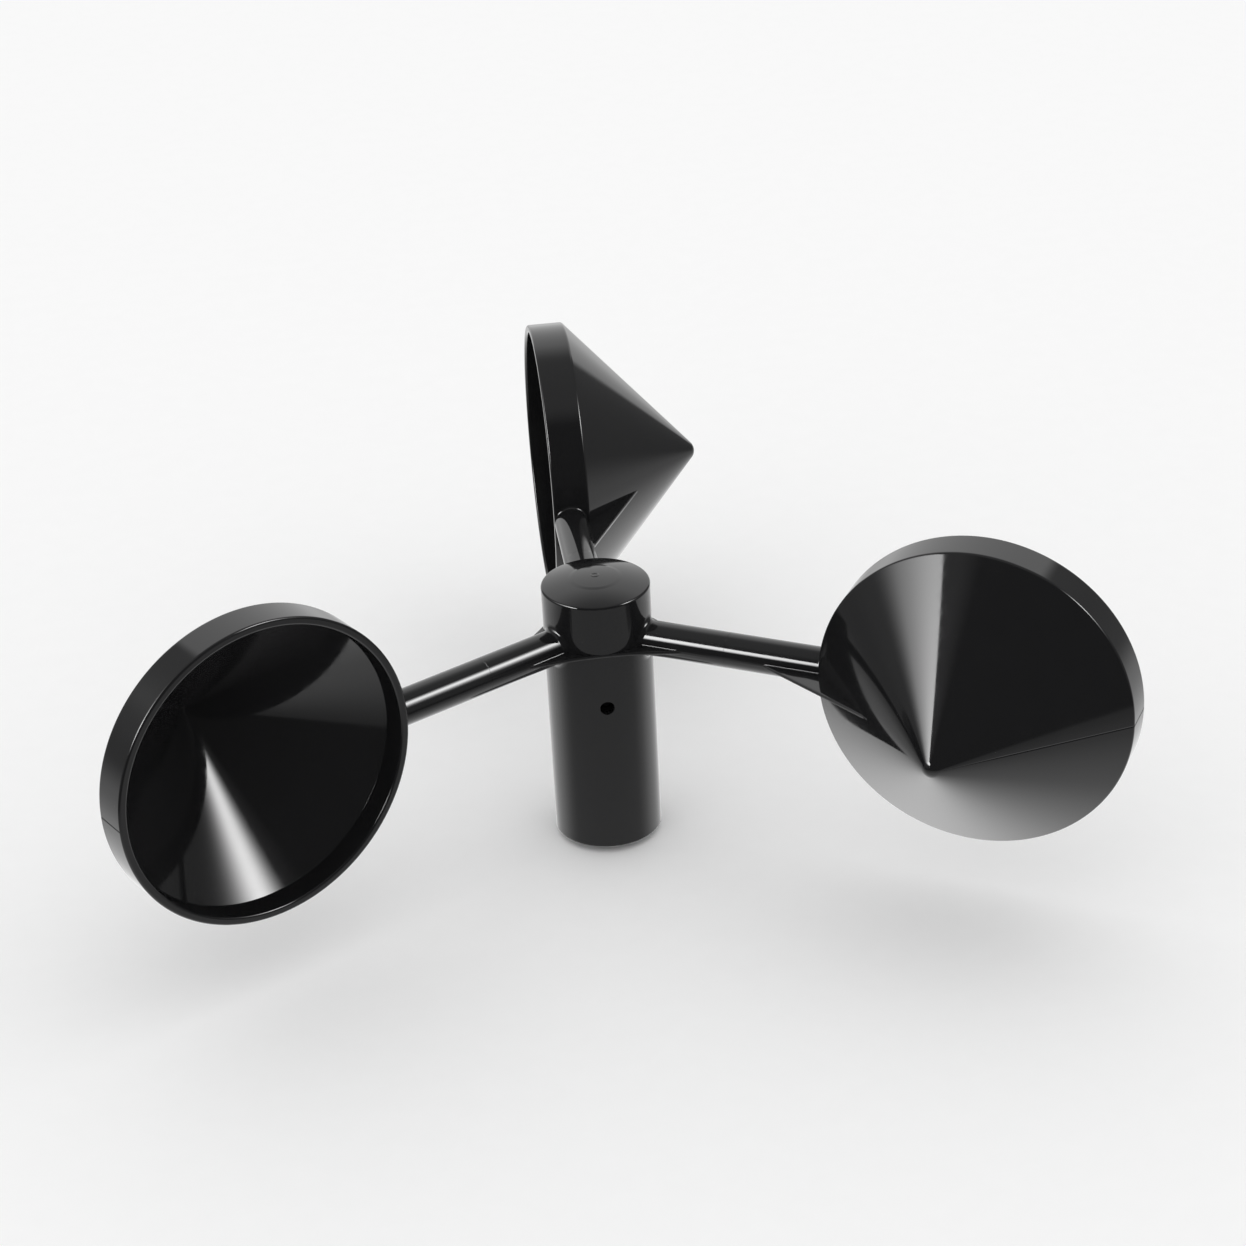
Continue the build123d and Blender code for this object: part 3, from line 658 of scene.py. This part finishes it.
# name: dark and light colour, range of roughness, size and depth of the grain or tool marks, and then the
# depth of a moulding's sink waves or a metal's metallic value
MOULDED = {
    "black_abs": ((0.0078, 0.0078, 0.0082), (0.0094, 0.0094, 0.0099), (0.05, 0.09), 0.35, 0.0002, 0.004 * MM),
    "acetal": ((0.012, 0.012, 0.013), (0.022, 0.022, 0.024), (0.32, 0.46), 0.12, 0.004, 0),
    "nylon": ((0.58, 0.52, 0.4), (0.7, 0.65, 0.54), (0.35, 0.5), 0.15, 0.004, 0),
    "rubber": ((0.008, 0.008, 0.008), (0.02, 0.02, 0.02), (0.55, 0.75), 0.05, 0.003, 0),
    "stage_paper": ((0.9, 0.9, 0.9), (0.92, 0.92, 0.92), (0.85, 0.95), 0.5, 0.002, 0),
}
TURNED = {
    "black_steel": ((0.012, 0.012, 0.014), (0.03, 0.03, 0.032), (0.3, 0.45), 0.08, 0.004, 0.6),
    "brass": ((0.62, 0.43, 0.16), (0.78, 0.58, 0.27), (0.16, 0.3), 0.06, 0.004, 1),
    "steel": ((0.56, 0.56, 0.58), (0.68, 0.68, 0.7), (0.1, 0.22), 0.05, 0.002, 1),
    "aluminium": ((0.55, 0.55, 0.57), (0.68, 0.68, 0.7), (0.24, 0.4), 0.09, 0.005, 1),
    "magnet": ((0.6, 0.59, 0.56), (0.74, 0.73, 0.7), (0.08, 0.18), 0.3, 0.001, 1),
    "tinned_wire": ((0.6, 0.59, 0.55), (0.74, 0.73, 0.69), (0.2, 0.36), 0.1, 0.004, 1),
}
materials = {"board": solder_mask(), "glass": clear_glass()}
for maker, table in ((moulded, MOULDED), (turned, TURNED)):
    for name, (dark, light, roughness, size, depth, last) in table.items():
        materials[name] = maker(name, dark, light, roughness, size * MM, depth * MM, last)

for subpart in frame["record"]["subparts"]:
    for held in frame["nodes"][subpart["node"]].material_slots:
        held.material = materials[subpart["material_slot"]]

for name, (node, piece) in shapes.items():
    piece.data.shade_smooth()
    piece.data.set_sharp_from_angle(angle=SHARP_ANGLE)
    piece.data.materials.clear()
    piece.data.materials.append(materials["black_abs"])
    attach(piece, "rotor")
    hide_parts(node)

# ======== Stage ========
half = 20
corners = [(-half, -half, 0), (half, -half, 0), (half, half, 0), (-half, half, 0)]
floor = mesh_object("stage_floor", corners, [(0, 1, 2, 3)])
floor.visible_glossy = False
paper = materials["stage_paper"]
paper.node_tree.nodes["Principled BSDF"].inputs["Specular IOR Level"].default_value = 0
floor.data.materials.append(paper)

# ======== Light ========
# One studio room drawn in the world and seen only in reflections. x is to the camera's right and y is away
# from it. Brightness values are the world's strength.
BACKDROP, BACKDROP_TOP = 1.4, 0.47
CAMERA_ROOM = 0.06  # the dark room round the camera
FILL = 1.3  # the even light that shades the floor
PLAIN = 1.185  # what the camera sees behind the floor, as bright as the floor
LAMP_EDGE = 0.06  # how softly a lamp ends at its front

world = bpy.data.worlds.new("studio")
bpy.context.scene.world = world
world.use_nodes = True
world.cycles.sampling_method = "NONE"
tree = world.node_tree
tree.nodes.clear()
sums = Nodes(tree)
direction = tree.nodes.new("ShaderNodeTexCoord")
rotated = tree.nodes.new("ShaderNodeVectorRotate")
rotated.rotation_type = "Z_AXIS"
rotated.inputs["Angle"].default_value = -VIEW_TURN
tree.links.new(direction.outputs["Generated"], rotated.inputs["Vector"])
axes = tree.nodes.new("ShaderNodeSeparateXYZ")
tree.links.new(rotated.outputs["Vector"], axes.inputs[0])
x, y, z = axes.outputs
path = tree.nodes.new("ShaderNodeLightPath")
side = sums.maths("MAXIMUM", sums.maths("ABSOLUTE", x), 0.001)
along = sums.maths("DIVIDE", y, side)  # on a side wall, towards the back
height = sums.maths("DIVIDE", z, side)
is_right = sums.maths("GREATER_THAN", x, 0.0)

# walls: a bright backdrop behind, dimmer sides, and a dark room around the camera
backdrop = sums.mix(sums.ramp(z, 0.65, 0.93), BACKDROP, BACKDROP_TOP)
left_wall = sums.mix(sums.ramp(z, 0.0, 0.3), 0.3, 0.45)
right_wall = sums.mix(sums.ramp(z, 0.2, 0.5), 0.28, 0.35)
walls = sums.mix(is_right, left_wall, right_wall)
walls = sums.mix(sums.ramp(along, -0.45, -1.2), walls, CAMERA_ROOM)
walls = sums.mix(sums.ramp(along, 1.15, 1.4), walls, backdrop)
above = sums.mix(sums.ramp(z, 0.8, 0.96), walls, BACKDROP_TOP)


def lamp(centre, spread, foot, top, front, strength):
    """Softbox on a side wall, bright in the middle and fading outwards, with a firm front, top and foot.

    centre and spread are along and up the wall. foot is where it starts going up, top its (height, slope)
    along the wall, and front where it ends towards the camera.
    """
    over = sums.maths("DIVIDE", sums.maths("SUBTRACT", along, centre[0]), spread[0])
    beside = sums.maths("DIVIDE", sums.maths("SUBTRACT", height, centre[1]), spread[1])
    squares = sums.maths("ADD", sums.maths("MULTIPLY", over, over), sums.maths("MULTIPLY", beside, beside))
    fade = sums.maths("EXPONENT", sums.maths("MULTIPLY", squares, -0.5))
    room = sums.maths("SUBTRACT", sums.maths("MULTIPLY_ADD", along, top[1], top[0]), height)
    inside = sums.maths("MULTIPLY", sums.ramp(room, -0.02, 0.02), sums.ramp(height, *foot))
    inside = sums.maths("MULTIPLY", inside, sums.ramp(along, front - LAMP_EDGE, front + LAMP_EDGE))
    return sums.maths("MULTIPLY", sums.maths("MULTIPLY", fade, inside), strength)


# the lamps show in a first reflection only, so that none shows twice inside a cup
left_lamp = lamp((-0.8, 0.7), (0.42, 0.45), (0.28, 0.58), (1.25, 0.36), -1.15, 26.0)
right_lamp = lamp((-0.3, 0.88), (0.19, 0.2), (0.2, 0.5), (1.4, 0.1), -0.62, 24.0)
first = sums.maths("LESS_THAN", path.outputs["Glossy Depth"], 1.5)
lamps = sums.maths("MULTIPLY", sums.mix(is_right, left_lamp, right_lamp), first)
above = sums.maths("ADD", above, lamps)

# the table below, which brightens towards the object
down = sums.maths("MULTIPLY", z, -1)
table_front = sums.ramp(down, 0.33, 0.38, CAMERA_ROOM, 0.3)
for ramp in ((0.3, 0.85, 0.0, 0.8), (0.85, 1.0, 0.0, 0.3)):
    table_front = sums.maths("ADD", table_front, sums.ramp(down, *ramp))
table_back = sums.maths("ADD", sums.ramp(down, 0.3, 0.65, 0.85, 1.5), sums.ramp(down, 0.65, 0.9, 0.0, 0.3))
below = sums.mix(sums.ramp(y, -0.35, 0.35), table_front, table_back)
below = sums.mix(sums.ramp(down, 0.05, 0.3), above, below)
studio = sums.mix(sums.maths("GREATER_THAN", z, 0.0), below, above)
plain = sums.mix(path.outputs["Is Camera Ray"], FILL, PLAIN)
background = tree.nodes.new("ShaderNodeBackground")
tree.links.new(sums.mix(path.outputs["Is Glossy Ray"], plain, studio), background.inputs["Strength"])
output = tree.nodes.new("ShaderNodeOutputWorld")
tree.links.new(background.outputs[0], output.inputs["Surface"])
bpy.context.scene.view_settings.view_transform = "Standard"
